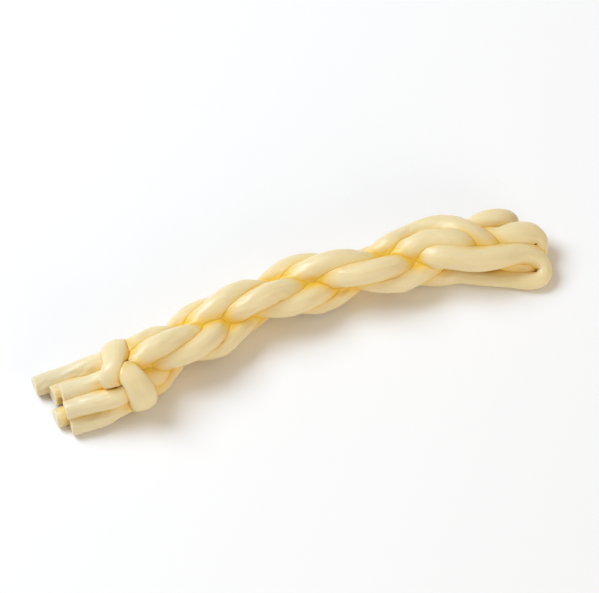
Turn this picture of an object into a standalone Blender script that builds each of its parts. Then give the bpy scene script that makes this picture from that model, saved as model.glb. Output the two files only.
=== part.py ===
"""Braided string cheese: three long strands, each folded in half, laid up as a two-ply cord.

Each ply holds three of the six strand halves. The halves turn about their ply one way
and the plies turn about each other the other way. At the right end the three folds stay
open as loops; at the left end the six cut ends stick out past a strand wound once round
the bundle. All sizes are in millimetres until the meshes are made. The cord lies along X,
Z is up and the floor is at Z = 0.
"""

import math

import bpy
import numpy as np

for thing in list(bpy.data.objects):
    bpy.data.objects.remove(thing, do_unlink=True)

MM = 0.001
TURN = 2.0 * math.pi

# The cord
LEAD = 57.7  # length in which the two plies turn once about each other
PLY_OFFSET = ((-46.0, 4.3), (-36.0, 3.5), (-26.0, 3.2), (50.0, 3.2))  # x, ply's middle from the cord's
STRAND_OFFSET = 2.9  # distance of a strand's middle from its ply's middle
STRAND_R = 3.15  # free radius of a strand, before its neighbours flatten it
PLIES = 2
STRANDS = 3
TOP_TURN = math.radians(120.0)  # direction that the first ply faces at LAY_X
LAY_X = -36.0  # where the turning is counted from
STRAND_PHASE = (  # for each ply: x, degrees by which its strands are turned
    (
        (-50.0, 62.0),
        (-34.0, 56.0),
        (-28.0, 46.0),
        (-20.5, 8.0),
        (-12.5, 31.0),
        (14.0, 18.0),
        (24.0, 11.0),
        (50.0, 0.0),
    ),
    ((-50.0, 62.0), (-34.0, 64.0), (-20.0, 62.0), (-5.0, 40.0), (10.0, 22.0), (24.0, 6.0), (50.0, 0.0)),
)

# The middle line of the cord
SPINE = (
    (-64.0, -8.6, 9.2),
    (-52.5, -8.7, 9.0),
    (-41.5, -6.4, 8.4),
    (-30.5, -3.7, 8.2),
    (-19.5, -1.8, 8.2),
    (-8.5, 0.2, 8.2),
    (2.3, 0.1, 8.2),
    (13.0, -1.1, 8.2),
    (23.7, -2.6, 8.2),
    (38.0, -4.2, 8.2),
    (52.1, -7.9, 8.2),
    (66.1, -12.1, 8.2),
)

# The routes of the strands
SPINE_STEPS = 20  # steps of the curve between two given points of the middle line
ROUTE_STEPS = 8  # the same for a folded strand
TIE_STEPS = 12  # the same for the wound strand
FINE = 0.8  # spacing of a route's points
EVEN_OUT = 1.3  # width of the smoothing that blends the tails and folds into the cord
TIE_EVEN_OUT = 1.0  # the same for the wound strand
CLOSEST = 0.55  # least distance of two middle lines over the sum of their radii
LOWEST = 0.88  # least height of a middle line over its radius
ROUNDS = 16  # rounds of pushing the routes apart
STEP_WIDTH = 3.5  # width of the smoothing of each push

# The surface of the strands
GAP = 0.85  # clearance left between strands that press on each other
SOFTNESS = 8  # how sharply a flattened face meets the round side
REACH = 9.5  # neighbours further than this never touch
SAME_STRAND = 9.0  # length along one strand in which it isn't its own neighbour
LEAST_SHARE = 0.2  # a neighbour presses no deeper than this share of the radius is left
BEND_SHARE = 0.62  # inside a bend the surface keeps to this share of the bend's radius
FACING = 0.05  # cosine past which a neighbour's plane is met
FAR = 1000.0  # a limit that nothing reaches
TINY = 1e-6  # keeps lengths that are divided by above zero
STATION = 2.7  # spacing of the rings of a folded strand's mesh
TIE_STATION = 1.8  # the same for the wound strand
SIDES = 12  # points in a ring

# The material
CHEESE_COLOUR = (0.87, 0.72, 0.42)
CHEESE_ROUGHNESS = 0.4


def curve_through(points, per):
    """Catmull-Rom curve with this many steps between points, which may have more columns than x, y, z."""
    p = np.asarray(points, float)
    q = np.vstack([2 * p[0] - p[1], p, 2 * p[-1] - p[-2]])
    t = np.linspace(0.0, 1.0, per, endpoint=False)[:, None]
    out = []
    for i in range(1, len(q) - 2):
        a, b, c, d = q[i - 1], q[i], q[i + 1], q[i + 2]
        out.append(
            0.5 * (2 * b + (c - a) * t + (2 * a - 5 * b + 4 * c - d) * t**2 + (3 * b - a - 3 * c + d) * t**3)
        )
    out.append(p[-1:])
    return np.vstack(out)


def resample(line, step):
    """The same line with points an even step apart; extra columns are carried along."""
    length = np.linalg.norm(np.diff(line[:, :3], axis=0), axis=1)
    s = np.concatenate([[0.0], np.cumsum(length)])
    count = max(int(round(s[-1] / step)), 3)
    u = np.linspace(0.0, s[-1], count + 1)
    return np.stack([np.interp(u, s, line[:, k]) for k in range(line.shape[1])], axis=1)


def soften(line, step, width):
    """Gaussian smoothing of an evenly spaced line, with its ends held."""
    k = int(3 * width / step)
    g = np.exp(-0.5 * (np.arange(-k, k + 1) * step / width) ** 2)
    g /= g.sum()
    padded = np.vstack([2 * line[0] - line[k:0:-1], line, 2 * line[-1] - line[-2 : -k - 2 : -1]])
    return np.stack([np.convolve(padded[:, c], g, "valid") for c in range(line.shape[1])], axis=1)


SPINE_LINE = curve_through(SPINE, SPINE_STEPS)


def spine_at(x):
    """Points of the cord's middle line at these x."""
    y = np.interp(x, SPINE_LINE[:, 0], SPINE_LINE[:, 1])
    z = np.interp(x, SPINE_LINE[:, 0], SPINE_LINE[:, 2])
    return np.stack([x, y, z], axis=1)


def laid(ply, strand, start, end):
    """Path of one strand inside the cord, with its radius as a fourth column."""
    x = np.linspace(start, end, int(abs(end - start)) + 2)
    middle = spine_at(x)
    along = np.gradient(middle, axis=0)
    along /= np.linalg.norm(along, axis=1)[:, None]
    side = np.cross([0.0, 0.0, 1.0], along) * np.sign(end - start)
    side /= np.linalg.norm(side, axis=1)[:, None]
    up = np.cross(along * np.sign(end - start), side)
    turn = TURN * (x - LAY_X) / LEAD
    ply_angle = TOP_TURN + turn + TURN * ply / PLIES
    phase = np.radians(np.interp(x, *np.transpose(STRAND_PHASE[ply])))
    strand_angle = TOP_TURN + phase - turn + TURN * strand / STRANDS
    offset = np.interp(x, *np.transpose(PLY_OFFSET))
    y = offset * np.cos(ply_angle) + STRAND_OFFSET * np.cos(strand_angle)
    z = offset * np.sin(ply_angle) + STRAND_OFFSET * np.sin(strand_angle)
    path = middle + y[:, None] * side + z[:, None] * up
    return np.column_stack([path, np.full(len(x), STRAND_R)])


# Each folded strand: cut end, its ply and place, where it leaves the cord,
# the fold, and the same for the other half. Points are (x, y, z, radius).
FOLDED = {
    "strand_far": (
        (
            (-76.5, 1.7, 2.85, 2.8),
            (-66.2, 1.2, 3.4, 2.85),
            (-58.8, 0.0, 6.2, 3.0),
            (-51.5, -2.5, 11.7, 3.1),
            (-46.8, -2.3, 12.9, 3.2),
            (-43.5, -2.2, 12.6, 3.2),
            (-40.0, -1.9, 12.2, 3.2),
            (-36.8, -3.2, 11.2, 3.15),
        ),
        (0, 1, -33.5, 49.0),
        (
            (54.0, -1.6, 6.8, 3.0),
            (59.6, -0.5, 7.7, 3.0),
            (64.8, -1.2, 7.8, 2.9),
            (67.9, -2.2, 5.6, 2.75),
            (66.2, -3.4, 3.0, 2.6),
            (61.4, -5.4, 2.7, 2.6),
            (56.6, -8.0, 4.4, 2.6),
            (53.6, -7.7, 8.2, 2.8),
            (50.8, -6.9, 12.2, 3.1),
            (46.8, -4.9, 13.2, 3.15),
            (43.4, -3.7, 12.9, 3.15),
            (40.2, -3.2, 12.2, 3.15),
        ),
        (1, 1, 37.0, -45.0),
        (
            (-51.0, -6.4, 5.0, 2.5),
            (-57.0, -9.6, 3.6, 2.6),
            (-62.8, -10.4, 2.7, 2.6),
            (-74.9, -10.0, 2.7, 2.6),
        ),
    ),
    "strand_middle": (
        (
            (-73.0, -3.7, 3.3, 2.85),
            (-66.0, -3.6, 3.3, 2.75),
            (-58.0, -5.6, 5.0, 2.6),
            (-51.0, -8.6, 9.0, 2.5),
        ),
        (0, 0, -45.0, 48.0),
        (
            (52.0, -3.6, 3.4, 2.6),
            (55.5, -3.8, 5.0, 2.5),
            (58.8, -5.4, 7.6, 2.8),
            (62.0, -7.6, 8.2, 3.3),
            (67.4, -8.3, 7.9, 3.75),
            (71.8, -9.4, 6.4, 3.45),
            (72.9, -11.4, 4.6, 3.1),
            (70.2, -14.8, 3.4, 2.9),
            (65.2, -15.6, 3.0, 2.85),
            (60.8, -12.6, 5.0, 2.9),
            (57.8, -9.0, 8.8, 3.1),
            (55.2, -5.8, 11.0, 3.25),
            (52.6, -2.7, 11.7, 3.2),
            (49.5, 0.3, 11.0, 3.15),
            (45.2, 2.2, 10.2, 3.15),
            (38.4, 2.7, 9.5, 3.1),
        ),
        (1, 0, 32.0, -40.0),
        (
            (-44.2, -11.6, 3.3, 2.9),
            (-50.0, -12.4, 5.3, 2.6),
            (-55.4, -14.5, 4.5, 2.6),
            (-63.6, -15.0, 3.0, 2.7),
            (-71.8, -14.0, 2.7, 2.7),
        ),
    ),
    "strand_near": (
        (
            (-71.4, -6.3, 8.4, 2.75),
            (-65.4, -7.0, 8.8, 2.7),
            (-60.0, -7.4, 9.6, 2.8),
            (-51.0, -7.9, 12.9, 2.6),
        ),
        (0, 2, -45.0, 34.0),
        (
            (42.6, -9.6, 2.7, 2.9),
            (47.2, -10.4, 2.6, 2.7),
            (51.0, -12.6, 2.5, 2.5),
            (55.8, -15.4, 2.4, 2.4),
            (61.3, -18.2, 2.3, 2.4),
            (66.2, -21.0, 2.3, 2.4),
            (69.7, -21.1, 2.5, 2.4),
            (71.3, -18.0, 3.2, 2.4),
            (69.0, -15.0, 5.8, 2.5),
            (64.3, -14.0, 8.1, 2.75),
            (58.4, -13.8, 9.4, 3.4),
            (51.6, -12.4, 10.6, 3.5),
            (46.4, -9.9, 11.8, 3.5),
            (43.2, -8.4, 12.2, 3.5),
            (40.6, -6.4, 11.4, 3.3),
            (38.4, -3.5, 9.2, 3.15),
        ),
        (1, 2, 36.0, -45.0),
        (
            (-51.0, -11.9, 10.9, 2.6),
            (-57.0, -14.0, 9.6, 2.8),
            (-63.2, -12.8, 8.6, 2.85),
            (-67.6, -12.0, 7.9, 2.65),
            (-72.3, -11.4, 7.4, 2.35),
        ),
    ),
}

# The strand wound round the bundle: angle from the far side over the top, radius, x.
TIE_MIDDLE = (-8.8, 9.0)
TIE = (
    (115.0, 4.8, -57.0),
    (103.0, 6.8, -57.2),
    (92.0, 7.5, -56.5),
    (74.0, 7.5, -54.9),
    (35.0, 7.8, -53.0),
    (-15.0, 8.0, -52.0),
    (-60.0, 8.0, -51.6),
    (-110.0, 8.1, -50.8),
    (-155.0, 8.3, -50.6),
    (-195.0, 8.3, -50.9),
    (-225.0, 8.1, -51.9),
    (-248.0, 7.7, -53.2),
    (-263.0, 6.7, -54.1),
)
TIE_R = 3.0  # free radius of the wound strand
TIE_WIDE = 1.38  # width of the wound strand along the cord over its free diameter
TIE_FLAT = 0.74  # its thickness over its free diameter
TIE_AXIS = np.array([1.0, 0.0, 0.0])


def folded_route(name):
    """Middle line and radius of one folded strand, from one cut end to the other."""
    first, lay_out, fold, lay_back, last = FOLDED[name]
    points = [np.array(first), laid(*lay_out), np.array(fold), laid(*lay_back), np.array(last)]
    line = resample(curve_through(np.vstack(points), ROUTE_STEPS), FINE)
    return soften(line, FINE, EVEN_OUT)


def tie_route():
    """Middle line of the wound strand."""
    points = []
    for angle, radius, x in TIE:
        a = math.radians(angle)
        points.append((x, TIE_MIDDLE[0] + radius * math.cos(a), TIE_MIDDLE[1] + radius * math.sin(a), TIE_R))
    return soften(resample(curve_through(points, TIE_STEPS), FINE), FINE, TIE_EVEN_OUT)


def carried_frames(line):
    """Tangent, side and up at each point, carried along without twisting."""
    along = np.gradient(line, axis=0)
    along /= np.linalg.norm(along, axis=1)[:, None]
    side = np.zeros_like(line)
    s = np.cross([0.0, 0.0, 1.0], along[0])
    for i, t in enumerate(along):
        s = s - np.dot(s, t) * t
        s = s / np.linalg.norm(s)
        side[i] = s
    return along, side, np.cross(along, side)


def pushed_apart(routes):
    """The same routes moved off each other where strands would share the same room.

    In each round every point steps away from the closest point of each other strand half,
    by half of what they lack, and the steps are smoothed along the strand.
    """
    halves = []
    for number, route in enumerate(routes):
        fold = len(route) if number == len(routes) - 1 else int(np.argmax(route[:, 0]))
        halves.append((number, 0, fold))
        if fold < len(route):
            halves.append((number, fold, len(route)))
    for _ in range(ROUNDS):
        moved = []
        for number, route in enumerate(routes):
            step = np.zeros((len(route), 3))
            place = np.arange(len(route))
            for other, first, last in halves:
                theirs = routes[other][first:last]
                away = route[:, None, :3] - theirs[None, :, :3]
                dist = np.maximum(np.linalg.norm(away, axis=2), TINY)
                lack = CLOSEST * (route[:, None, 3] + theirs[None, :, 3]) - dist
                if other == number:
                    along = np.abs(place[:, None] - np.arange(first, last)[None]) * FINE
                    lack = np.where(along > SAME_STRAND, lack, -1.0)
                best = np.argmax(lack, axis=1)
                push = np.maximum(lack[place, best], 0.0) / dist[place, best] / 2
                step += push[:, None] * away[place, best]
            step[:, 2] += np.maximum(LOWEST * route[:, 3] - route[:, 2], 0.0)
            moved.append(np.column_stack([route[:, :3] + soften(step, FINE, STEP_WIDTH), route[:, 3]]))
        routes = moved
    return routes


def pressed_surface(routes, which, step, sides, gap, wide=1.0, flat=1.0, axis=None):
    """Rings of points round one route, flattened where other strands or the floor press on it.

    In each direction the surface stops at the plane half way to a neighbour, less half the
    gap, at the free radius, or at the floor, whichever comes first, with the corners rounded.
    The flat sides of a ring touch the free radius from outside.
    """
    route = routes[which]
    count = int(len(route) * FINE / step) + 2
    place = np.unique(np.round(np.linspace(0, len(route) - 1, count)).astype(int))
    along, side, up = carried_frames(route[:, :3])
    arc = np.arange(len(route)) * FINE
    bend = np.gradient(along, axis=0) / FINE
    p, side, up, bend, arc_here = route[place, :3], side[place], up[place], bend[place], arc[place]
    radius = route[place, 3]
    angle = np.linspace(0.0, TURN, sides, endpoint=False)
    n = np.cos(angle)[None, :, None] * side[:, None] + np.sin(angle)[None, :, None] * up[:, None]
    r = np.repeat(radius[:, None] / math.cos(math.pi / sides), sides, axis=1)
    if axis is not None:
        across = np.abs(n @ axis)
        r = r / np.sqrt((across / wide) ** 2 + (1 - across**2) / flat**2)
    free = r.mean(axis=1)
    limit = np.full(r.shape, FAR)
    for other, line in enumerate(routes):
        d = line[None, :, :3] - p[:, None]
        dist = np.linalg.norm(d, axis=2)
        near = (dist < REACH) & (dist > TINY)
        dist = np.maximum(dist, TINY)
        if other == which:
            near &= np.abs(arc_here[:, None] - arc[None]) > SAME_STRAND
        used = np.flatnonzero(near.any(axis=0))
        if len(used) == 0:
            continue
        d, dist, near = d[:, used], dist[:, used], near[:, used]
        theirs = line[used, 3]
        half = dist / 2 + (free[:, None] ** 2 - theirs[None] ** 2) / (2 * dist) - gap / 2
        half = np.maximum(half, LEAST_SHARE * free[:, None])
        facing = np.einsum("nak,nmk->nam", n, d / dist[..., None])
        plane = half[:, None] / np.maximum(facing, TINY)
        plane = np.where((facing > FACING) & near[:, None], plane, FAR)
        limit = np.minimum(limit, plane.min(axis=2))
    inward = np.einsum("nak,nk->na", n, bend)
    limit = np.minimum(limit, BEND_SHARE / np.maximum(inward, 1.0 / FAR))
    r = (r**-SOFTNESS + limit**-SOFTNESS) ** (-1.0 / SOFTNESS)
    floor = p[:, 2][:, None] / np.maximum(-n[..., 2], 1.0 / FAR)
    return p[:, None] + np.minimum(r, floor)[..., None] * n


def closed_tube(rings):
    """Points and faces of a tube of rings with a flat cap at each end."""
    count, sides, _ = rings.shape
    points = np.vstack([rings.reshape(-1, 3), rings[0].mean(axis=0), rings[-1].mean(axis=0)])
    i = np.arange(count - 1)[:, None] * sides
    j = np.arange(sides)[None]
    k = (j + 1) % sides
    walls = np.stack([i + j, i + k, i + sides + k, i + sides + j], axis=-1).reshape(-1, 4)
    a = np.arange(sides)
    b = (a + 1) % sides
    last = (count - 1) * sides
    start = np.stack([np.full(sides, count * sides), b, a], axis=-1)
    end = np.stack([np.full(sides, count * sides + 1), last + a, last + b], axis=-1)
    return points, walls.tolist() + start.tolist() + end.tolist()


def material(name, colour, roughness):
    made = bpy.data.materials.new(name)
    made.use_nodes = True
    shader = made.node_tree.nodes["Principled BSDF"]
    shader.inputs["Base Color"].default_value = (*colour, 1.0)
    shader.inputs["Roughness"].default_value = roughness
    return made


def node(name, points, faces):
    """One closed solid as an object of its own, from points in metres."""
    mesh = bpy.data.meshes.new(name)
    mesh.from_pydata(points.tolist(), [], faces)
    mesh.update()
    mesh.shade_smooth()
    mesh.materials.append(material(name, CHEESE_COLOUR, CHEESE_ROUGHNESS))
    made = bpy.data.objects.new(name, mesh)
    bpy.context.scene.collection.objects.link(made)
    return made


NAMES = (*FOLDED, "tie")
ROUTES = pushed_apart([folded_route(name) for name in FOLDED] + [tie_route()])

# Solids
tie_shape = {"wide": TIE_WIDE, "flat": TIE_FLAT, "axis": TIE_AXIS}
solids = []
for number, name in enumerate(NAMES):
    if name in FOLDED:
        rings = pressed_surface(ROUTES, number, STATION, SIDES, GAP)
    else:
        rings = pressed_surface(ROUTES, number, TIE_STATION, SIDES, GAP, **tie_shape)
    solids.append(closed_tube(rings))

everything = np.vstack([points for points, faces in solids])
low, high = everything.min(axis=0), everything.max(axis=0)
origin = np.array([(low[0] + high[0]) / 2, (low[1] + high[1]) / 2, low[2]])
for name, (points, faces) in zip(NAMES, solids):
    node(name, (points - origin) * MM, faces)
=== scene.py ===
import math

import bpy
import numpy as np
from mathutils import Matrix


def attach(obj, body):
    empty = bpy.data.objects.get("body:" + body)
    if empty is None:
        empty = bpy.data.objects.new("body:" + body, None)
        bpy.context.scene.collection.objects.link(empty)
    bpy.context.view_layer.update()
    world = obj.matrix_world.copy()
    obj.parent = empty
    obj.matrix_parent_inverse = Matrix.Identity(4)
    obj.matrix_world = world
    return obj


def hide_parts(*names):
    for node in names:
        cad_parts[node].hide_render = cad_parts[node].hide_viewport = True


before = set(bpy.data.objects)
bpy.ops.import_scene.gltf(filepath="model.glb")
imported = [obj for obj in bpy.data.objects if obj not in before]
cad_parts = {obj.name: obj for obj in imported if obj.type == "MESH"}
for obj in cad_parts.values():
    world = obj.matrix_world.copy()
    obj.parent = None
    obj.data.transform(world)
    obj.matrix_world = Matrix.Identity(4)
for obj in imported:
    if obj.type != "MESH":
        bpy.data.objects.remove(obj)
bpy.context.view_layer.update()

# Braided string cheese: three long strands, each folded in half, laid up as a two-ply cord.
#
# Each ply holds three of the six strand halves. The halves turn about their ply one way and the
# plies turn about each other the other way. At the right end the three folds stay open as loops,
# and at the left end the six cut ends stick out past a strand wound once round the bundle.
# Shapes are worked out in millimetres and put into the meshes in metres.

MM = 0.001  # a millimetre, in metres
TURN = 2.0 * math.pi  # a whole turn, in radians

# The cord
LEAD = 57.7  # length in which the two plies turn once about each other
PLY_OFFSET = ((-46.0, 4.3), (-36.0, 3.5), (-26.0, 3.2), (50.0, 3.2))  # x, ply's middle from the cord's
STRAND_OFFSET = 2.9  # distance of a strand's middle from its ply's middle
STRAND_R = 3.15  # free radius of a strand, before its neighbours flatten it
PLIES = 2
STRANDS = 3
TOP_TURN = math.radians(120.0)  # direction that the first ply faces at LAY_X
LAY_X = -36.0  # where the turning is counted from
STRAND_PHASE = (  # for each ply: x, degrees by which its strands are turned
    (
        (-50.0, 62.0),
        (-34.0, 56.0),
        (-28.0, 46.0),
        (-20.5, 8.0),
        (-12.5, 31.0),
        (14.0, 18.0),
        (24.0, 11.0),
        (50.0, 0.0),
    ),
    ((-50.0, 62.0), (-34.0, 64.0), (-20.0, 62.0), (-5.0, 40.0), (10.0, 22.0), (24.0, 6.0), (50.0, 0.0)),
)

# The middle line of the cord
SPINE = (
    (-64.0, -8.6, 9.2),
    (-52.5, -8.7, 9.0),
    (-41.5, -6.4, 8.4),
    (-30.5, -3.7, 8.2),
    (-19.5, -1.8, 8.2),
    (-8.5, 0.2, 8.2),
    (2.3, 0.1, 8.2),
    (13.0, -1.1, 8.2),
    (23.7, -2.6, 8.2),
    (38.0, -4.2, 8.2),
    (52.1, -7.9, 8.2),
    (66.1, -12.1, 8.2),
)

# The routes of the strands
SPINE_STEPS = 20  # steps of the curve between two given points of the middle line
ROUTE_STEPS = 8  # the same for a folded strand
TIE_STEPS = 12  # the same for the wound strand
FINE = 0.8  # spacing of a route's points
BELL_REACH = 3  # a smoothing reaches this many of its widths to each side
EVEN_OUT = 1.3  # width of the smoothing that blends the tails and folds into the cord
TIE_EVEN_OUT = 1.0  # the same for the wound strand
CLOSEST = 0.55  # least distance of two middle lines over the sum of their radii
LOWEST = 0.88  # least height of a middle line over its radius
ROUNDS = 16  # rounds of pushing the routes apart
STEP_WIDTH = 3.5  # width of the smoothing of each push

# The surface of the strands
GAP = -1.1  # clearance of strands that press on each other: below zero, so they sink into each other
SOFTNESS = 60  # how sharply a flattened face meets the round side
REACH = 9.5  # neighbours further than this never touch
SAME_STRAND = 9.0  # length along one strand in which it isn't its own neighbour
LEAST_SHARE = 0.2  # share of the radius that a neighbour leaves at the least
BEND_SHARE = 0.62  # inside a bend the surface keeps to this share of the bend's radius
FACING = 0.05  # cosine past which a neighbour's plane is met
FAR = 1000.0  # a limit that nothing reaches
TINY = 1e-6  # keeps lengths that are divided by above zero
STATION = 0.5  # spacing of the rings of a mesh
SIDES = 96  # points in a ring
SLIM = 0.985  # share of the free radius kept, to stay inside the plain solids' box
INSET = 0.45  # length left free at each cut end for its rounded rim
GAP_STEP = 2  # gaps are measured to every second point of a route
BLOCK = 48  # rings worked out at a time

# Each folded strand: one tail, its stretch in the cord, the fold, the stretch back and the other
# tail. Points are (x, y, z, radius), and a stretch is (ply, place in the ply, from x, to x).
FOLDED = {
    "strand_far": (
        (
            (-76.5, 1.7, 2.85, 2.8),
            (-66.2, 1.2, 3.4, 2.85),
            (-58.8, 0.0, 6.2, 3.0),
            (-51.5, -2.5, 11.7, 3.1),
            (-46.8, -2.3, 12.9, 3.2),
            (-43.5, -2.2, 12.6, 3.2),
            (-40.0, -1.9, 12.2, 3.2),
            (-36.8, -3.2, 11.2, 3.15),
        ),
        (0, 1, -33.5, 49.0),
        (
            (54.0, -1.6, 6.8, 3.0),
            (59.6, -0.5, 7.7, 3.0),
            (64.8, -1.2, 7.8, 2.9),
            (67.9, -2.2, 5.6, 2.75),
            (66.2, -3.4, 3.0, 2.6),
            (61.4, -5.4, 2.7, 2.6),
            (56.6, -8.0, 4.4, 2.6),
            (53.6, -7.7, 8.2, 2.8),
            (50.8, -6.9, 12.2, 3.1),
            (46.8, -4.9, 13.2, 3.15),
            (43.4, -3.7, 12.9, 3.15),
            (40.2, -3.2, 12.2, 3.15),
        ),
        (1, 1, 37.0, -45.0),
        (
            (-51.0, -6.4, 5.0, 2.5),
            (-57.0, -9.6, 3.6, 2.6),
            (-62.8, -10.4, 2.7, 2.6),
            (-74.9, -10.0, 2.7, 2.6),
        ),
    ),
    "strand_middle": (
        (
            (-73.0, -3.7, 3.3, 2.85),
            (-66.0, -3.6, 3.3, 2.75),
            (-58.0, -5.6, 5.0, 2.6),
            (-51.0, -8.6, 9.0, 2.5),
        ),
        (0, 0, -45.0, 48.0),
        (
            (52.0, -3.6, 3.4, 2.6),
            (55.5, -3.8, 5.0, 2.5),
            (58.8, -5.4, 7.6, 2.8),
            (62.0, -7.6, 8.2, 3.3),
            (67.4, -8.3, 7.9, 3.75),
            (71.8, -9.4, 6.4, 3.45),
            (72.9, -11.4, 4.6, 3.1),
            (70.2, -14.8, 3.4, 2.9),
            (65.2, -15.6, 3.0, 2.85),
            (60.8, -12.6, 5.0, 2.9),
            (57.8, -9.0, 8.8, 3.1),
            (55.2, -5.8, 11.0, 3.25),
            (52.6, -2.7, 11.7, 3.2),
            (49.5, 0.3, 11.0, 3.15),
            (45.2, 2.2, 10.2, 3.15),
            (38.4, 2.7, 9.5, 3.1),
        ),
        (1, 0, 32.0, -40.0),
        (
            (-44.2, -11.6, 3.3, 2.9),
            (-50.0, -12.4, 5.3, 2.6),
            (-55.4, -14.5, 4.5, 2.6),
            (-63.6, -15.0, 3.0, 2.7),
            (-71.8, -14.0, 2.7, 2.7),
        ),
    ),
    "strand_near": (
        (
            (-71.4, -6.3, 8.4, 2.75),
            (-65.4, -7.0, 8.8, 2.7),
            (-60.0, -7.4, 9.6, 2.8),
            (-51.0, -7.9, 12.9, 2.6),
        ),
        (0, 2, -45.0, 34.0),
        (
            (42.6, -9.6, 2.7, 2.9),
            (47.2, -10.4, 2.6, 2.7),
            (51.0, -12.6, 2.5, 2.5),
            (55.8, -15.4, 2.4, 2.4),
            (61.3, -18.2, 2.3, 2.4),
            (66.2, -21.0, 2.3, 2.4),
            (69.7, -21.1, 2.5, 2.4),
            (71.3, -18.0, 3.2, 2.4),
            (69.0, -15.0, 5.8, 2.5),
            (64.3, -14.0, 8.1, 2.75),
            (58.4, -13.8, 9.4, 3.4),
            (51.6, -12.4, 10.6, 3.5),
            (46.4, -9.9, 11.8, 3.5),
            (43.2, -8.4, 12.2, 3.5),
            (40.6, -6.4, 11.4, 3.3),
            (38.4, -3.5, 9.2, 3.15),
        ),
        (1, 2, 36.0, -45.0),
        (
            (-51.0, -11.9, 10.9, 2.6),
            (-57.0, -14.0, 9.6, 2.8),
            (-63.2, -12.8, 8.6, 2.85),
            (-67.6, -12.0, 7.9, 2.65),
            (-72.3, -11.4, 7.4, 2.35),
        ),
    ),
}

# The strand wound round the bundle
TIE_MIDDLE = (-8.8, 9.0)  # y and z of the line that it is wound round
TIE = (  # angle from the far side over the top, in degrees, distance from that line, x
    (115.0, 4.8, -57.0),
    (103.0, 6.8, -57.2),
    (92.0, 7.5, -56.5),
    (74.0, 7.5, -54.9),
    (35.0, 7.8, -53.0),
    (-15.0, 8.0, -52.0),
    (-60.0, 8.0, -51.6),
    (-110.0, 8.1, -50.8),
    (-155.0, 8.3, -50.6),
    (-195.0, 8.3, -50.9),
    (-225.0, 8.1, -51.9),
    (-248.0, 7.7, -53.2),
    (-263.0, 6.7, -54.1),
)
TIE_R = 3.0  # free radius of the wound strand
TIE_WIDE = 1.38  # width of the wound strand along the cord over its free diameter
TIE_FLAT = 0.74  # its thickness over its free diameter
TIE_AXIS = np.array([1.0, 0.0, 0.0])  # the direction that counts as along the cord

# The frame's origin in the cord's own x, y, z, in millimetres
ORIGIN = np.array([-0.6254, -7.2718, 0.0])

# Finish of the strands
SHADE_CROWD_REACH = 2.4  # gap to another strand over which its crowding falls to about a third; the crowding sets the painted shade
FLOOR_SHADE_REACH = 2.4  # the same for the height above the floor
FLOOR_SHADE_SHARE = 0.7  # how much the floor counts in the painted shade of a crease, against another strand
FILLET = 1.9  # width of the soft valley where two strands meet
FILLET_ROUNDS = 4  # rounds of working the valley out
EVEN_REACH = 3  # a radius is averaged with this many on each side
EVEN_WIDTH = 1.1  # width of the averaging, in stations and in sides
WAVES = 5  # waves that a random curve along a strand is made of
WAVE_FROM = 0.5  # least number of waves in the length that the curve is drawn for
WAVE_TO = 3.0  # and the greatest
SWELL = 0.02  # slow change of a strand's thickness, over its radius
SWELL_LENGTH = 30.0  # length that the swelling is drawn for
RIDGE = 0.08  # height of the long ridges left by pulling, in millimetres
TIE_RIDGE = 0.03  # the same for the wound strand
RIDGE_COUNTS = (3, 4, 5, 7, 9, 12, 16)  # waves round a strand that the ridges are made of
RIDGE_FALL = 0.7  # power by which finer ridges are lower
RIDGE_TURN = 1.6  # how far the ridges wander round the strand, in radians
RIDGE_TURN_LENGTH = 60.0  # length that the wandering is drawn for
RIDGE_LENGTH = 40.0  # length that the ridges' heights are drawn for
RIDGE_SEED = 5  # seed of the random draws for the first strand's ridges
ROUND_OVER = 0.35  # rounding of the rim of a cut end
TIE_ROUND_OVER = 1.6  # the same for the wound strand, whose ends are soft
RIM_SHARE = 0.8  # a rim goes in no further than this share of the way to the middle
RIM_RINGS = 5  # rings over the rim
FACE_RINGS = 12  # rings over the cut face
FACE_WAVES = 5  # waves that the cut face's unevenness is made of
CUT_RELIEF = 0.12  # unevenness of a cut face
CUT_SEED = 20  # the same for the first cut face: each piece takes the next two
TIP_FROM = 69.0  # x past which the loops' tips are drawn in, to stay inside the plain solids' box
TIP_TO = 75.73  # x that is drawn in by TIP_IN
TIP_IN = 0.47

# Look of the cheese. Colours are linear, and x is in metres.
CREAM = (0.825, 0.70, 0.425, 1.0)  # palest skin
BUTTER = (0.82, 0.66, 0.315, 1.0)  # yellowest skin
PAINTED_SHADE_GOLD = (0.84, 0.52, 0.05, 1.0)  # painted shade: gold at the bottom of a crease and low by the floor
DRIED = (0.745, 0.655, 0.43, 1.0)  # skin of the tails, which has dried
PALE = (0.79, 0.68, 0.45, 1.0)  # cut faces
STRETCH = (1.0, 1.0, 0.06)  # the streaks' pattern is drawn out along the strand
STREAKS = {"Scale": 1.3, "Detail": 4.0, "Roughness": 0.6}  # fibres, for a millimetre across
CLOUDS = {"Scale": 110.0, "Detail": 2.0}  # broad patches, for a metre
MOTTLE = {"Scale": 700.0, "Detail": 3.0}  # fine grain, for a metre
YELLOW_STREAKS = 0.7  # how much the streaks bring the butter colour out
YELLOW_CLOUDS = 0.6  # the same for the clouds
YELLOW_FROM = 0.3  # sum of the two at which it starts
PAINTED_SHADE_FROM = 0.8  # crowding at which the painted shade, gold, starts
PAINTED_SHADE_GAIN = 0.95  # how fast it comes in from there
PAINTED_SHADE_POWER = 1.2  # how late in the crease it comes in
TAIL_PAINTED_SHADE = 0.25  # share of the painted shade that the tails' ends have
PAINTED_SHADE_X = -0.074  # x at which the painted shade starts to rise from that share
PAINTED_SHADE_RISE = 140.0  # one over the length in which it rises to the whole
DRY_SHARE = 0.75  # share of the dried colour at the tails' ends
DRY_X = -0.068  # x at which that share starts to fall
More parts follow.
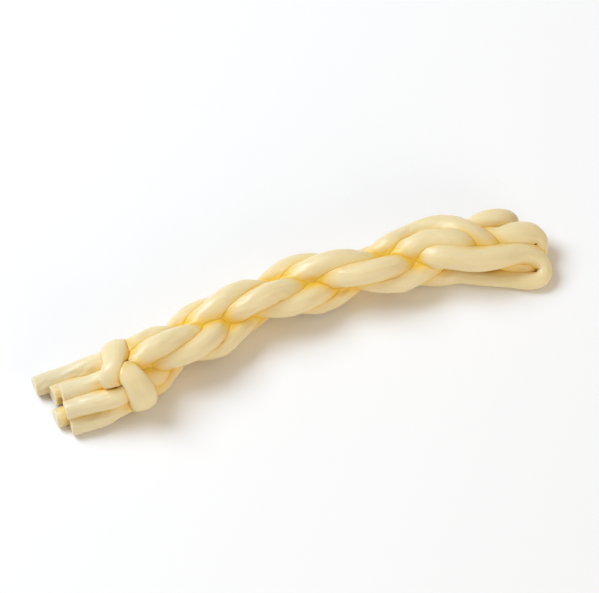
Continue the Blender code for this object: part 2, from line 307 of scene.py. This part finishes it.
DRY_FALL = 60.0  # one over the length in which it falls to nothing
FACE_SHARE = 0.8  # share of the pale colour on a cut face
ROUGH = 0.25  # roughness where no pattern adds to it
ROUGH_MOTTLE = 0.1  # what the mottle adds at the most
ROUGH_STREAKS = 0.24  # the same for the streaks
ROUGH_CUT = 0.12  # the same for a cut face
BUMP_MOTTLE = 0.35  # height of the mottle against the streaks
BUMP = {"Strength": 0.45, "Distance": 0.0002}
WAXY = {
    "Subsurface Weight": 0.2,
    "Subsurface Radius": (1.0, 0.6, 0.25),
    "Subsurface Scale": 0.0008,
    "IOR": 1.42,
    "Coat Weight": 0.3,
    "Coat Roughness": 0.26,
}

# Camera
ACROSS = 169.5  # width that the camera takes in, in millimetres
CAMERA_TURN = math.radians(22.8)  # how far it looks to the right of straight ahead, which is +Y
CAMERA_HEIGHT = math.radians(60.0)  # angle at which it looks down on the floor
CAMERA_AWAY = 2500.0  # distance to the camera, in millimetres
SENSOR = 36.0  # width of the camera's sensor, in millimetres
NEAREST = 0.05  # what is nearer than this isn't seen, in metres
FURTHEST = 20.0  # nor what is further than this
AIM = (3.48, 2.42)  # middle of the view from the cord's own origin: right, up

# Light and floor, in metres
LAMPS = (  # name, place, width, watts, colour
    ("key", (-0.70, 0.70, 1.15), 0.85, 18.9, (0.865, 1.0, 1.165)),
    ("fill", (0.35, -1.25, 0.35), 0.8, 5.2, (1.0, 0.96, 0.87)),
)
LAMP_AIM = (0.0, 0.0, 0.01)
SKY = {"Color": (1.0, 0.86, 0.70, 1.0), "Strength": 0.5}
FLOOR_HALF = 3.0  # half of the floor's width
FLOOR_LOOK = {"Base Color": (0.92, 0.92, 0.92, 1.0), "Roughness": 0.7, "Specular IOR Level": 0.1}


def unit(rows):
    """Each row over its own length."""
    return rows / np.linalg.norm(rows, axis=1)[:, None]


def bell(away, width):
    """Weights that add up to 1 and fall as e to the power of minus half (away / width) squared."""
    weight = np.exp(-0.5 * (away / width) ** 2)
    return weight / weight.sum()


def curve_through(points, steps):
    """Catmull-Rom curve with this many steps between points, which may have more columns than three.

    From b to c, with a before and d after, the place t is half of 2 b + (c - a) t
    + (2 a - 5 b + 4 c - d) t squared + (3 b - a - 3 c + d) t cubed.
    """
    given = np.asarray(points, float)
    padded = np.vstack([2 * given[0] - given[1], given, 2 * given[-1] - given[-2]])
    t = np.linspace(0.0, 1.0, steps, endpoint=False)[:, None]
    parts = []
    for a, b, c, d in zip(padded, padded[1:], padded[2:], padded[3:]):
        square = 2 * a - 5 * b + 4 * c - d
        cube = 3 * b - a - 3 * c + d
        parts.append(0.5 * (2 * b + (c - a) * t + square * t**2 + cube * t**3))
    parts.append(given[-1:])
    return np.vstack(parts)


def resample(line, step):
    """The same line with points an even step apart; extra columns are carried along."""
    length = np.linalg.norm(np.diff(line[:, :3], axis=0), axis=1)
    reached = np.concatenate([[0.0], np.cumsum(length)])
    count = max(int(round(reached[-1] / step)), 3)
    wanted = np.linspace(0.0, reached[-1], count + 1)
    return np.stack([np.interp(wanted, reached, column) for column in line.T], axis=1)


def soften(line, step, width):
    """An evenly spaced line averaged along itself by a bell curve, with its ends held."""
    reach = int(BELL_REACH * width / step)
    weight = bell(np.arange(-reach, reach + 1) * step, width)
    before = 2 * line[0] - line[reach:0:-1]
    after = 2 * line[-1] - line[-2 : -reach - 2 : -1]
    padded = np.vstack([before, line, after])
    return np.stack([np.convolve(column, weight, "valid") for column in padded.T], axis=1)


SPINE_LINE = curve_through(SPINE, SPINE_STEPS)


def spine_at(x):
    """Points of the cord's middle line at these x."""
    y = np.interp(x, SPINE_LINE[:, 0], SPINE_LINE[:, 1])
    z = np.interp(x, SPINE_LINE[:, 0], SPINE_LINE[:, 2])
    return np.stack([x, y, z], axis=1)


def laid(ply, strand, start, end):
    """Path of one strand inside the cord from one x to another, with its radius as a fourth column.

    The middle line plus a circle of the ply's offset turning one way with x, plus a circle
    of the strand's offset turning the other way.
    """
    x = np.linspace(start, end, int(abs(end - start)) + 2)
    middle = spine_at(x)
    onward = np.sign(end - start)
    along = unit(np.gradient(middle, axis=0))
    side = unit(np.cross([0.0, 0.0, 1.0], along) * onward)
    up = np.cross(along * onward, side)
    turn = TURN * (x - LAY_X) / LEAD
    ply_angle = TOP_TURN + turn + TURN * ply / PLIES
    phase = np.radians(np.interp(x, *np.transpose(STRAND_PHASE[ply])))
    strand_angle = TOP_TURN + phase - turn + TURN * strand / STRANDS
    offset = np.interp(x, *np.transpose(PLY_OFFSET))
    y = offset * np.cos(ply_angle) + STRAND_OFFSET * np.cos(strand_angle)
    z = offset * np.sin(ply_angle) + STRAND_OFFSET * np.sin(strand_angle)
    path = middle + y[:, None] * side + z[:, None] * up
    return np.column_stack([path, np.full(len(x), STRAND_R)])


def folded_route(name):
    """Middle line and radius of one folded strand, from one cut end to the other."""
    first_tail, laid_out, fold, laid_back, last_tail = FOLDED[name]
    points = np.vstack([first_tail, laid(*laid_out), fold, laid(*laid_back), last_tail])
    return soften(resample(curve_through(points, ROUTE_STEPS), FINE), FINE, EVEN_OUT)


def tie_route():
    """Middle line and radius of the wound strand: a circle whose radius and x change on the way."""
    middle_y, middle_z = TIE_MIDDLE
    points = []
    for degrees, radius, x in TIE:
        angle = math.radians(degrees)
        points.append((x, middle_y + radius * math.cos(angle), middle_z + radius * math.sin(angle), TIE_R))
    return soften(resample(curve_through(points, TIE_STEPS), FINE), FINE, TIE_EVEN_OUT)


def halves_of(number, route):
    """From where to where each half of a route goes: a folded strand turns back where x is highest."""
    if number >= len(FOLDED):
        return ((0, len(route)),)
    fold = int(np.argmax(route[:, 0]))
    return ((0, fold), (fold, len(route)))


def carried_frames(line):
    """Direction, side and up at each point of a line, carried along it without twisting.

    Each side is the one before it less its part along the line, brought back to length 1.
    """
    along = unit(np.gradient(line, axis=0))
    side = np.zeros_like(line)
    last = np.cross([0.0, 0.0, 1.0], along[0])
    for place, direction in enumerate(along):
        last = last - np.dot(last, direction) * direction
        last = last / np.linalg.norm(last)
        side[place] = last
    return along, side, np.cross(along, side)


def pushed_apart(routes):
    """The same routes moved off each other where strands would share the same room.

    In each round every point steps away from the closest point of each other strand half, by
    half of what they lack, and up from the floor by what it lacks there. The steps are smoothed
    along the strand.
    """
    halves = []
    for number, route in enumerate(routes):
        halves += [(number, first, last) for first, last in halves_of(number, route)]
    for _ in range(ROUNDS):
        moved = []
        for number, route in enumerate(routes):
            step = np.zeros((len(route), 3))
            place = np.arange(len(route))
            for other, first, last in halves:
                theirs = routes[other][first:last]
                away = route[:, None, :3] - theirs[None, :, :3]
                dist = np.maximum(np.linalg.norm(away, axis=2), TINY)
                lack = CLOSEST * (route[:, None, 3] + theirs[None, :, 3]) - dist
                if other == number:
                    along = np.abs(place[:, None] - np.arange(first, last)[None]) * FINE
                    lack = np.where(along > SAME_STRAND, lack, -1.0)
                best = np.argmax(lack, axis=1)
                push = np.maximum(lack[place, best], 0.0) / dist[place, best] / 2
                step += push[:, None] * away[place, best]
            step[:, 2] += np.maximum(LOWEST * route[:, 3] - route[:, 2], 0.0)
            moved.append(np.column_stack([route[:, :3] + soften(step, FINE, STEP_WIDTH), route[:, 3]]))
        routes = moved
    return routes


def at_stations(columns, count):
    """Columns of numbers along a route read at this many even places, from INSET inside its ends."""
    place = np.linspace(INSET / FINE, len(columns) - 1.0 - INSET / FINE, count)
    here = np.arange(len(columns))
    return np.stack([np.interp(place, here, column) for column in columns.T], axis=1)


def evened(radii):
    """Each radius averaged with those near it, along the strand and round it, by a bell curve."""
    near = np.arange(-EVEN_REACH, EVEN_REACH + 1)
    weights = bell(near, EVEN_WIDTH)
    averaged = sum(w * np.roll(radii, k, axis=1) for w, k in zip(weights, near))
    rows = np.arange(len(radii))
    return sum(w * averaged[np.clip(rows + k, 0, len(radii) - 1)] for w, k in zip(weights, near))


def tie_section(radii, outward):
    """The wound strand's free section: an ellipse, wide along the cord and thin across it.

    The radius over the root of (across / TIE_WIDE) squared + (1 - across squared) / TIE_FLAT
    squared, where across is the part of the direction that lies along the cord.
    """
    across = np.abs(outward @ TIE_AXIS)
    return radii / np.sqrt((across / TIE_WIDE) ** 2 + (1 - across**2) / TIE_FLAT**2)


def met_neighbours(middle, outward, free, arc, which, routes):
    """Length at which each direction meets the first plane between its strand and a neighbour.

    The plane stands across the line to the neighbour's middle, at half its length, plus the
    difference of the squared radii over twice its length, less half the gap. A direction meets
    it at that distance over the cosine between the direction and the line.
    """
    limit = np.full(outward.shape[:2], FAR)
    for row in range(0, len(middle), BLOCK):
        rows = slice(row, row + BLOCK)
        for other, line in enumerate(routes):
            towards = line[None, :, :3] - middle[rows, None]
            dist = np.linalg.norm(towards, axis=2)
            near = (dist < REACH) & (dist > TINY)
            dist = np.maximum(dist, TINY)
            if other == which:
                near &= np.abs(arc[rows, None] - np.arange(len(line)) * FINE) > SAME_STRAND
            used = np.flatnonzero(near.any(axis=0))
            if len(used) == 0:
                continue
            towards, dist, near = towards[:, used], dist[:, used], near[:, used]
            theirs = line[used, 3]
            half = dist / 2 + (free[rows, None] ** 2 - theirs[None] ** 2) / (2 * dist) - GAP / 2
            half = np.maximum(half, LEAST_SHARE * free[rows, None])
            cosine = np.einsum("nak,nmk->nam", outward[rows], towards / dist[..., None])
            plane = half[:, None] / np.maximum(cosine, TINY)
            plane = np.where((cosine > FACING) & near[:, None], plane, FAR)
            limit[rows] = np.minimum(limit[rows], plane.min(axis=2))
    return limit


def gaps_to_others(points, arc, which, routes):
    """Gap from each point of a surface to the free surface of each other half of a strand.

    The least distance to a point of the other's middle line, less the radius there, or 0 inside
    it. A strand's own half counts only past SAME_STRAND along it.
    """
    gaps = []
    for other, line in enumerate(routes):
        for first, last in halves_of(other, line):
            theirs = line[first:last:GAP_STEP]
            theirs_arc = np.arange(first, last, GAP_STEP) * FINE
            gap = np.empty(points.shape[:2])
            for row in range(0, len(points), BLOCK):
                rows = slice(row, row + BLOCK)
                away = points[rows, :, None] - theirs[:, :3]
                dist = np.linalg.norm(away, axis=3)
                radius = theirs[:, 3]
                if other >= len(FOLDED):
                    radius = tie_section(radius, away / np.maximum(dist, TINY)[..., None])
                apart = dist - radius
                if other == which:
                    own = np.abs(arc[rows, None] - theirs_arc) < SAME_STRAND
                    apart = apart + FAR * own[:, None]
                gap[rows] = apart.min(axis=2)
            gaps.append(np.maximum(gap, 0.0))
    return np.array(gaps)


def pressed_surface(routes, which, section, relief):
    """Rings of points round one route, pressed where other strands or the floor are in the way.

    In each direction the surface has its free radius, raised beside another strand as in a
    smooth union of the two: the rise is (FILLET - the difference of gap and rise) squared over
    4 FILLET, added up over the others and worked out in rounds. It stops at the plane to a
    neighbour, or at a share of the bend's own radius inside a bend. Corners are rounded by a
    power mean: (radius to the power of -SOFTNESS + limit to the power of -SOFTNESS) to the power
    of -1 / SOFTNESS. The radii are then averaged, and stop where they would meet the floor.

    Returns the points, how crowded each one is, which is the sum of e to the power of minus the
    gap over SHADE_CROWD_REACH and the same for the floor and which sets the painted shade, and
    the distance along the strand of each ring.
    """
    route = routes[which]
    count = int(len(route) * FINE / STATION)
    along, side, up = carried_frames(route[:, :3])
    bend = np.gradient(along, axis=0) / FINE
    arc = np.arange(len(route)) * FINE
    read = at_stations(np.column_stack([route, side, up, bend, arc]), count)
    middle, radius, side, up, bend, arc = np.split(read, (3, 4, 7, 10, 13), axis=1)
    arc = arc[:, 0]
    angle = np.linspace(0.0, TURN, SIDES, endpoint=False)
    over, above = np.cos(angle)[None, :, None], np.sin(angle)[None, :, None]
    outward = over * unit(side)[:, None] + above * unit(up)[:, None]
    free = section(np.repeat(radius * SLIM, SIDES, axis=1), outward)
    bare = relief(free, angle, arc)
    limit = met_neighbours(middle, outward, free.mean(axis=1), arc, which, routes)

    def surface(radii):
        return middle[:, None] + radii[..., None] * outward

    gaps = gaps_to_others(surface(bare), arc, which, routes)
    height = np.maximum(surface(bare)[..., 2], 0.0)
    # crowding by other strands and the floor, from which the material paints shade
    shade_crowding = np.exp(-gaps / SHADE_CROWD_REACH).sum(axis=0) + FLOOR_SHADE_SHARE * np.exp(-height / FLOOR_SHADE_REACH)
    radii = bare
    for _ in range(FILLET_ROUNDS):
        gaps = gaps_to_others(surface(radii), arc, which, routes)
        near = np.maximum(FILLET - np.abs(gaps - (radii - bare)), 0.0)
        radii = bare + (near**2 / (4.0 * FILLET)).sum(axis=0)
    inward = np.einsum("nak,nk->na", outward, bend)
    limit = np.minimum(limit, BEND_SHARE / np.maximum(inward, 1.0 / FAR))
    pressed = evened((radii**-SOFTNESS + limit**-SOFTNESS) ** (-1.0 / SOFTNESS))
    to_floor = middle[:, 2][:, None] / np.maximum(-outward[..., 2], 1.0 / FAR)
    return surface(np.minimum(pressed, to_floor)), shade_crowding, arc


def round_section(radii, outward):
    """A folded strand's free section: the radius is the same in every direction."""
    return radii


def wander(random, count, places, length):
    """Smooth random curves, this many of them, read at these places.

    Each is the sum of a few cosines of random height and start, with WAVE_FROM to WAVE_TO waves
    in the length.
    """
    waves = random.uniform(WAVE_FROM, WAVE_TO, (count, WAVES)) / length
    starts = random.uniform(0.0, TURN, (count, WAVES))
    size = random.normal(0.0, 1.0, (count, WAVES)) / math.sqrt(WAVES)
    turns = TURN * waves[:, None] * places[None, :, None] + starts[:, None]
    return (size[:, None] * np.cos(turns)).sum(axis=2)


def pulled_relief(seed, ridge):
    """The finish that pulling leaves: radius plus long ridges that wander, and a slow swelling.

    Each ridge is a cosine of a whole number of waves round the strand, whose turn and height
    follow smooth random curves along it.
    """
    random = np.random.default_rng(seed)

    def relief(radii, angle, arc):
        swell = wander(random, 1, arc, SWELL_LENGTH)[0] * SWELL
        turns = wander(random, len(RIDGE_COUNTS), arc, RIDGE_TURN_LENGTH) * RIDGE_TURN
        heights = wander(random, len(RIDGE_COUNTS), arc, RIDGE_LENGTH)
        waves = 0.0
        for count, turn, height in zip(RIDGE_COUNTS, turns, heights):
            wave = height[:, None] * np.cos(count * angle[None] + turn[:, None] * count)
            waves = waves + wave * (RIDGE_COUNTS[0] / count) ** RIDGE_FALL
        return radii * (1.0 + swell[:, None]) + ridge * waves

    return relief


def cut_end(ring, inner, seed, rim_radius):
    """Rings that close a tube at a cut: a rounded rim, then the cut face towards its middle.

    The rim follows a quarter circle. The face's height above it is a sum of waves in the angle,
    each times the share of the way from the middle to the power of its count, and times what is
    left of the way to the rim.
    """
    random = np.random.default_rng(seed)
    middle = ring.mean(axis=0)
    out = middle - inner.mean(axis=0)
    out /= np.linalg.norm(out)
    spoke = ring - middle
    spoke -= (spoke @ out)[:, None] * out
    reach = np.linalg.norm(spoke, axis=1)
    inset = np.minimum(rim_radius, RIM_SHARE * reach)
    rings = []
    for step in np.linspace(0.0, 1.0, RIM_RINGS + 1)[1:]:
        angle = step * TURN / 4
        share = 1.0 - inset * (1.0 - math.cos(angle)) / reach
        rings.append(ring + spoke * (share - 1.0)[:, None] + out * rim_radius * math.sin(angle))
    rim = rings[-1]
    rim_middle = rim.mean(axis=0)
    angles = np.linspace(0.0, TURN, len(ring), endpoint=False)
    heights = random.normal(0.0, 1.0, FACE_WAVES)
    turns = random.uniform(0.0, TURN, FACE_WAVES)
    counts = range(1, FACE_WAVES + 1)
    for share in np.linspace(1.0, 0.0, FACE_RINGS + 2)[1:-1]:
        waves = [
            height * np.cos(count * angles + turn) * share**count * (1.0 - share)
            for count, height, turn in zip(counts, heights, turns)
        ]
        rings.append(rim_middle + (rim - rim_middle) * share + out * (CUT_RELIEF * sum(waves))[:, None])
    return rings, rim_middle


def drawn_in(rings):
    """Rings whose x past TIP_FROM loses TIP_IN times the square of the share of the way to TIP_TO."""
    past = np.maximum(rings[..., 0] - TIP_FROM, 0.0) / (TIP_TO - TIP_FROM)
    rings[..., 0] -= TIP_IN * past**2
    return rings


def tube_faces(count, sides):
    """Faces of a tube of this many rings: walls, then a fan over each end to one of two last points."""
    ring = np.arange(count - 1)[:, None] * sides
    here = np.arange(sides)
    beside = (here + 1) % sides
    walls = np.stack([ring + here, ring + beside, ring + sides + beside, ring + sides + here], axis=-1)
    last = (count - 1) * sides
    first_fan = np.stack([np.full(sides, count * sides), beside, here], axis=-1)
    last_fan = np.stack([np.full(sides, count * sides + 1), last + here, last + beside], axis=-1)
    return walls.reshape(-1, 4).tolist() + first_fan.tolist() + last_fan.tolist()


def give(mesh, name, kind, field, values):
    """Gives the mesh an attribute of this name with these values, one for each point."""
    held = mesh.attributes.new(name, kind, "POINT")
    held.data.foreach_set(field, values.astype(np.float32).ravel())


def placed(name, data):
    """A new object of the scene that shows these data."""
    made = bpy.data.objects.new(name, data)
    bpy.context.scene.collection.objects.link(made)
    return made


def piece_from_rings(name, rings, shade_crowding, arc, seed, rim_radius):
    """A closed mesh: the tube's rings with a cut end on each side, and its pattern attributes.

    The attribute fibre holds a place on a cylinder, in millimetres: cosine and sine of the angle
    times the distance from the ring's middle, and the distance along. The attribute pressed is
    how crowded a point is, for the painted shade. The attribute cut is 1 on the cut ends and 0 between
    them.
    """
    start, start_middle = cut_end(rings[0], rings[1], seed, rim_radius)
    end, end_middle = cut_end(rings[-1], rings[-2], seed + 1, rim_radius)
    every = np.array(start[::-1] + list(rings) + end)
    points = np.vstack([every.reshape(-1, 3), start_middle, end_middle])
    count, sides, _ = every.shape
    mesh = bpy.data.meshes.new(name)
    mesh.from_pydata(((points - ORIGIN) * MM).tolist(), [], tube_faces(count, sides))
    mesh.update()
    mesh.shade_smooth()

    added = len(start), len(end)
    angle = np.linspace(0.0, TURN, sides, endpoint=False)
    spread = np.linalg.norm(every - every.mean(axis=1)[:, None], axis=2)
    place = np.repeat(np.pad(arc, added, mode="edge")[:, None], sides, axis=1)
    fibre = np.stack([spread * np.cos(angle), spread * np.sin(angle), place], axis=-1)
    fibre = np.vstack([fibre.reshape(-1, 3), (0.0, 0.0, arc[0]), (0.0, 0.0, arc[-1])])
    # the crowding, stored as the attribute pressed, sets the painted shade
    pressed = np.pad(shade_crowding, (added, (0, 0)), mode="edge")
    cut = np.repeat(np.pad(np.zeros(len(rings)), added, constant_values=1.0), sides)
    give(mesh, "fibre", "FLOAT_VECTOR", "vector", fibre)
    give(mesh, "pressed", "FLOAT", "value", np.append(pressed.ravel(), (0.0, 0.0)))
    give(mesh, "cut", "FLOAT", "value", np.append(cut, (1.0, 1.0)))
    return placed(name, mesh)


class Flow:
    """A socket of a material's nodes, which Python's operators turn into Math nodes."""

    def __init__(self, tree, socket=None):
        self.tree = tree
        self.socket = socket

    def node(self, kind, settings, values, output=0):
        """Adds a node of this type, with its settings set first, then its sockets' values or links."""
        made = self.tree.nodes.new(kind)
        for key, value in settings.items():
            setattr(made, key, value)
        for key, value in values.items():
            if isinstance(value, Flow):
                self.tree.links.new(value.socket, made.inputs[key])
            else:
                made.inputs[key].default_value = value
        return Flow(self.tree, made.outputs[output])

    def math(self, operation, first, second):
        """A Math node on two numbers, each a flow or plain."""
        return self.node("ShaderNodeMath", {"operation": operation}, {0: first, 1: second})

    def __add__(self, other):
        return self.math("ADD", self, other)

    __radd__ = __add__

    def __mul__(self, other):
        return self.math("MULTIPLY", self, other)

    __rmul__ = __mul__

    def __sub__(self, other):
        return self.math("SUBTRACT", self, other)

    def __rsub__(self, other):
        return self.math("SUBTRACT", other, self)

    def __pow__(self, other):
        return self.math("POWER", self, other)

    def clipped(self):
        """This number kept from 0 to 1."""
        return self.node("ShaderNodeClamp", {}, {0: self})

    def mixed(self, first, second):
        """Colour between first, where this flow is 0, and second, where it is 1.

        Of a Mix node's sockets, inputs 6 and 7 and output 2 are those for colours.
        """
        return self.node("ShaderNodeMix", {"data_type": "RGBA"}, {0: self, 6: first, 7: second}, 2)


def set_sockets(node, values):
    """Sets sockets of a node, by name, to values that are the same all over."""
    for key, value in values.items():
        node.inputs[key].default_value = value


def cheese():
    """Smooth, waxy cheese: cream to butter yellow, gold in the creases, with faint long fibres.

    The butter colour comes in with the sum of streaks and clouds. Gold is painted shade: it comes in
    with the crowding past PAINTED_SHADE_FROM, to the power of PAINTED_SHADE_POWER, and less of it among
    the tails, whose skin is duller towards their ends. Roughness and bump follow the streaks and a fine
    mottle.
    """
    made = bpy.data.materials.new("pulled_cheese")
    made.use_nodes = True
    tree = made.node_tree
    shader = tree.nodes["Principled BSDF"]
    flow = Flow(tree)
    fibre = flow.node("ShaderNodeAttribute", {"attribute_name": "fibre"}, {}, "Vector")
    # the attribute pressed holds the crowding that sets the painted shade
    pressed = flow.node("ShaderNodeAttribute", {"attribute_name": "pressed"}, {}, "Fac")
    cut = flow.node("ShaderNodeAttribute", {"attribute_name": "cut"}, {}, "Fac")
    where = flow.node("ShaderNodeTexCoord", {}, {}, "Object")
    x = flow.node("ShaderNodeSeparateXYZ", {}, {0: where}, "X")
    stretched = flow.node("ShaderNodeVectorMath", {"operation": "MULTIPLY"}, {0: fibre, 1: STRETCH})
    streaks = flow.node("ShaderNodeTexNoise", {}, {"Vector": stretched, **STREAKS})
    clouds = flow.node("ShaderNodeTexNoise", {}, {"Vector": where, **CLOUDS})
    mottle = flow.node("ShaderNodeTexNoise", {}, {"Vector": where, **MOTTLE})

    yellow = (YELLOW_STREAKS * streaks + YELLOW_CLOUDS * clouds - YELLOW_FROM).clipped()
    dried = (1.0 - ((x - DRY_X) * DRY_FALL).clipped()) * DRY_SHARE
    skin = dried.mixed(yellow.mixed(CREAM, BUTTER), DRIED)
    painted_shade_share = ((x - PAINTED_SHADE_X) * PAINTED_SHADE_RISE).clipped() * (1.0 - TAIL_PAINTED_SHADE) + TAIL_PAINTED_SHADE
    # painted shade: gold where other strands or the floor crowd the surface, less among the tails
    painted_shade = ((pressed - PAINTED_SHADE_FROM) * PAINTED_SHADE_GAIN).clipped() ** PAINTED_SHADE_POWER * painted_shade_share
    colour = (cut * FACE_SHARE).clipped().mixed(painted_shade.mixed(skin, PAINTED_SHADE_GOLD), PALE)
    rough = ROUGH + ROUGH_MOTTLE * mottle + ROUGH_STREAKS * streaks + ROUGH_CUT * cut
    bump = flow.node("ShaderNodeBump", {}, {"Height": streaks + BUMP_MOTTLE * mottle, **BUMP})
    tree.links.new(colour.socket, shader.inputs["Base Color"])
    tree.links.new(rough.socket, shader.inputs["Roughness"])
    tree.links.new(bump.socket, shader.inputs["Normal"])
    set_sockets(shader, WAXY)
    return made


def pale_floor():
    """A matt material of one pale colour."""
    made = bpy.data.materials.new("pale_floor")
    made.use_nodes = True
    set_sockets(made.node_tree.nodes["Principled BSDF"], FLOOR_LOOK)
    return made


def floor():
    """A wide pale floor that the cheese lies on."""
    near, far = -FLOOR_HALF, FLOOR_HALF
    mesh = bpy.data.meshes.new("floor")
    mesh.from_pydata([(near, near, 0), (far, near, 0), (far, far, 0), (near, far, 0)], [], [(0, 1, 2, 3)])
    mesh.materials.append(pale_floor())
    made = placed("floor", mesh)


def facing(away):
    """Rotation that points an object's -Z opposite to away, with its X level."""
    flat = math.hypot(away[0], away[1])
    return (math.atan2(flat, away[2]), 0.0, math.atan2(away[0], -away[1]))


def camera():
    """A long lens above the near side, with the view's middle set off from the cord's origin."""
    right = np.array([math.cos(CAMERA_TURN), -math.sin(CAMERA_TURN), 0.0])
    ahead = np.array([math.sin(CAMERA_TURN), math.cos(CAMERA_TURN), 0.0])
    up = ahead * math.sin(CAMERA_HEIGHT) + np.array([0.0, 0.0, math.cos(CAMERA_HEIGHT)])
    look = ahead * math.cos(CAMERA_HEIGHT) - np.array([0.0, 0.0, math.sin(CAMERA_HEIGHT)])
    target = AIM[0] * right + AIM[1] * up - ORIGIN
    data = bpy.data.cameras.new("camera")
    data.sensor_width = SENSOR
    data.lens = SENSOR * CAMERA_AWAY / ACROSS
    data.clip_start = NEAREST
    data.clip_end = FURTHEST
    made = placed("camera", data)
    made.location = (target - look * CAMERA_AWAY) * MM
    made.rotation_euler = facing(-look)
    bpy.context.scene.camera = made


def lamp(name, place, width, watts, colour):
    """A square soft box at a place, turned to the cheese."""
    light = bpy.data.lights.new(name, "AREA")
    light.shape = "SQUARE"
    light.size = width
    light.energy = watts
    light.color = colour
    made = placed(name, light)
    made.location = place
    made.rotation_euler = facing(np.array(place) - np.array(LAMP_AIM))


def studio():
    """The camera, the lamps and a warm even light from all round."""
    camera()
    for settings in LAMPS:
        lamp(*settings)
    world = bpy.data.worlds.new("studio")
    world.use_nodes = True
    set_sockets(world.node_tree.nodes["Background"], SKY)
    bpy.context.scene.world = world
    bpy.context.scene.view_settings.view_transform = "Standard"


NAMES = (*FOLDED, "tie")
ROUTES = pushed_apart([folded_route(name) for name in FOLDED] + [tie_route()])
CHEESE = cheese()
for number, name in enumerate(NAMES):
    wound = name == "tie"
    relief = pulled_relief(RIDGE_SEED + number, TIE_RIDGE if wound else RIDGE)
    section = tie_section if wound else round_section
    rings, shade_crowding, arc = pressed_surface(ROUTES, number, section, relief)
    rim_radius = TIE_ROUND_OVER if wound else ROUND_OVER
    seed = CUT_SEED + 2 * number
    made = piece_from_rings(name + "_surface", drawn_in(rings), shade_crowding, arc, seed, rim_radius)
    made.data.materials.append(CHEESE)
    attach(made, "root")
    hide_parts(name)

floor()
studio()
